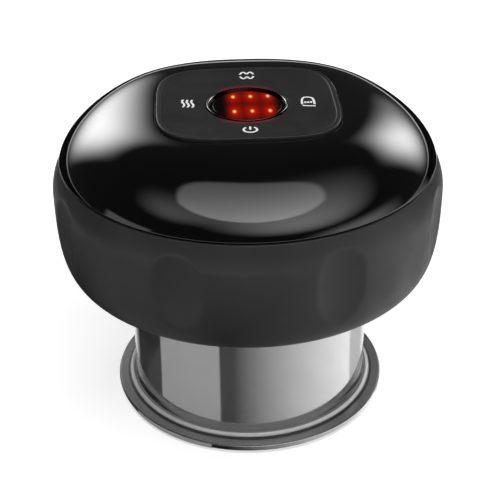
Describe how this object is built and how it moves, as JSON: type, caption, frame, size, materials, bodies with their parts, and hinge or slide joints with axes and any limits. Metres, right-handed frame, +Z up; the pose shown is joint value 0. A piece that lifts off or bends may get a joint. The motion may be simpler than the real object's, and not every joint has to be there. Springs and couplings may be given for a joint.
{
  "type": "electric cupping massager",
  "caption": "Round suction massager: gloss dome with a keyed display panel, matte housing with finger recesses, and a pull-off smoked cup below a heated plate.",
  "frame": {"origin": "centre of the cup's rim, on the surface that it stands on", "axes": "+Z up through the dome, -Y towards the front with the power key, +X to the right of the front"},
  "size_m": [0.092, 0.092, 0.0762],
  "materials": {
    "cover_gloss": "glossy piano black",
    "housing_matte": "fine matte charcoal, soft to the touch",
    "panel_satin": "satin dark grey with printed white symbols",
    "bevel_chrome": "bright plated bevel",
    "lens_tint": "clear lens with a dark red tint",
    "lamp_red": "lit red lamp",
    "cup_smoke": "clear plastic with a grey smoke tint",
    "seal_rubber": "black rubber",
    "black_plastic": "moulded black",
    "white_plastic": "moulded natural white",
    "circuit_board": "green solder mask",
    "steel": "bright steel",
    "film_amber": "amber film with copper tracks",
    "cell_wrap": "blue shrink wrap over the cell's can",
    "magnet_dark": "dark ferrite",
    "filter_foam": "open foam",
    "hose_clear": "milky silicone"
  },
  "bodies": {
    "casing": {"top_cover": "cover_gloss", "lower_housing": "housing_matte", "control_panel": "panel_satin", "display_ring": "bevel_chrome", "display_window": "lens_tint", "light_box": "black_plastic", "control_board": "circuit_board", "level_led_1": "lamp_red", "level_led_2": "lamp_red", "level_led_3": "lamp_red", "level_led_4": "lamp_red", "level_led_5": "lamp_red", "level_led_6": "lamp_red", "key_switch_heat": "black_plastic", "key_switch_cup": "black_plastic", "key_switch_level": "black_plastic", "key_switch_power": "black_plastic", "board_screw_1": "steel", "board_screw_2": "steel", "board_screw_3": "steel", "board_screw_4": "steel", "base_plate": "black_plastic", "case_screw_1": "steel", "case_screw_2": "steel", "case_screw_3": "steel", "case_screw_4": "steel", "cup_seal_ring": "seal_rubber", "heater_plate": "steel", "heater_film": "film_amber", "inlet_filter": "filter_foam", "red_light_board": "circuit_board", "battery_cell": "cell_wrap", "power_board": "circuit_board", "power_screw_1": "steel", "power_screw_2": "steel", "usb_socket": "steel", "motor_can": "steel", "motor_end_cap": "black_plastic", "ring_magnet": "magnet_dark", "diaphragm": "seal_rubber", "pump_body": "black_plastic", "valve_plate": "white_plastic", "pump_head": "black_plastic", "pump_damper": "seal_rubber", "pump_screw_1": "steel", "pump_screw_2": "steel", "valve_body": "white_plastic", "valve_spring": "steel", "valve_cap": "steel", "suction_hose": "hose_clear", "release_hose": "hose_clear"},
    "cup": {"cup": "cup_smoke"},
    "key_heat": {"key_plunger_heat": "white_plastic"},
    "key_cup": {"key_plunger_cup": "white_plastic"},
    "key_level": {"key_plunger_level": "white_plastic"},
    "key_power": {"key_plunger_power": "white_plastic"},
    "pump_rotor": {"rotor": "steel", "crank": "white_plastic"},
    "pump_rocker": {"rocker": "white_plastic"},
    "release_plunger": {"valve_plunger": "steel"}
  },
  "joints": [
    {"name": "cup_pull", "type": "slide", "parent": "casing", "child": "cup", "axis": [0, 0, -1], "range_m": [0, 0.03]},
    {"name": "key_heat_press", "type": "slide", "parent": "casing", "child": "key_heat", "axis": [0, 0, -1], "range_m": [0, 0.00025], "stiffness_N_per_m": 2000},
    {"name": "key_cup_press", "type": "slide", "parent": "casing", "child": "key_cup", "axis": [0, 0, -1], "range_m": [0, 0.00025], "stiffness_N_per_m": 2000},
    {"name": "key_level_press", "type": "slide", "parent": "casing", "child": "key_level", "axis": [0, 0, -1], "range_m": [0, 0.00025], "stiffness_N_per_m": 2000},
    {"name": "key_power_press", "type": "slide", "parent": "casing", "child": "key_power", "axis": [0, 0, -1], "range_m": [0, 0.00025], "stiffness_N_per_m": 2000},
    {"name": "rotor_spin", "type": "hinge", "parent": "casing", "child": "pump_rotor", "pos_m": [0, -0.0126, 0.0542], "axis": [1, 0, 0], "continuous": true},
    {"name": "rocker_nutate", "type": "hinge", "parent": "pump_rotor", "child": "pump_rocker", "pos_m": [0.01522, -0.0126, 0.0542], "axis": [0.992, 0, -0.1262], "continuous": true, "deforming": ["diaphragm"]},
    {"name": "release_lift", "type": "slide", "parent": "casing", "child": "release_plunger", "axis": [0, 0, 1], "range_m": [0, 0.0012], "stiffness_N_per_m": 300, "deforming": ["valve_spring"]}
  ],
  "couplings": [
    {"joint": "rocker_nutate", "follows": "rotor_spin", "ratio": -1}
  ]
}
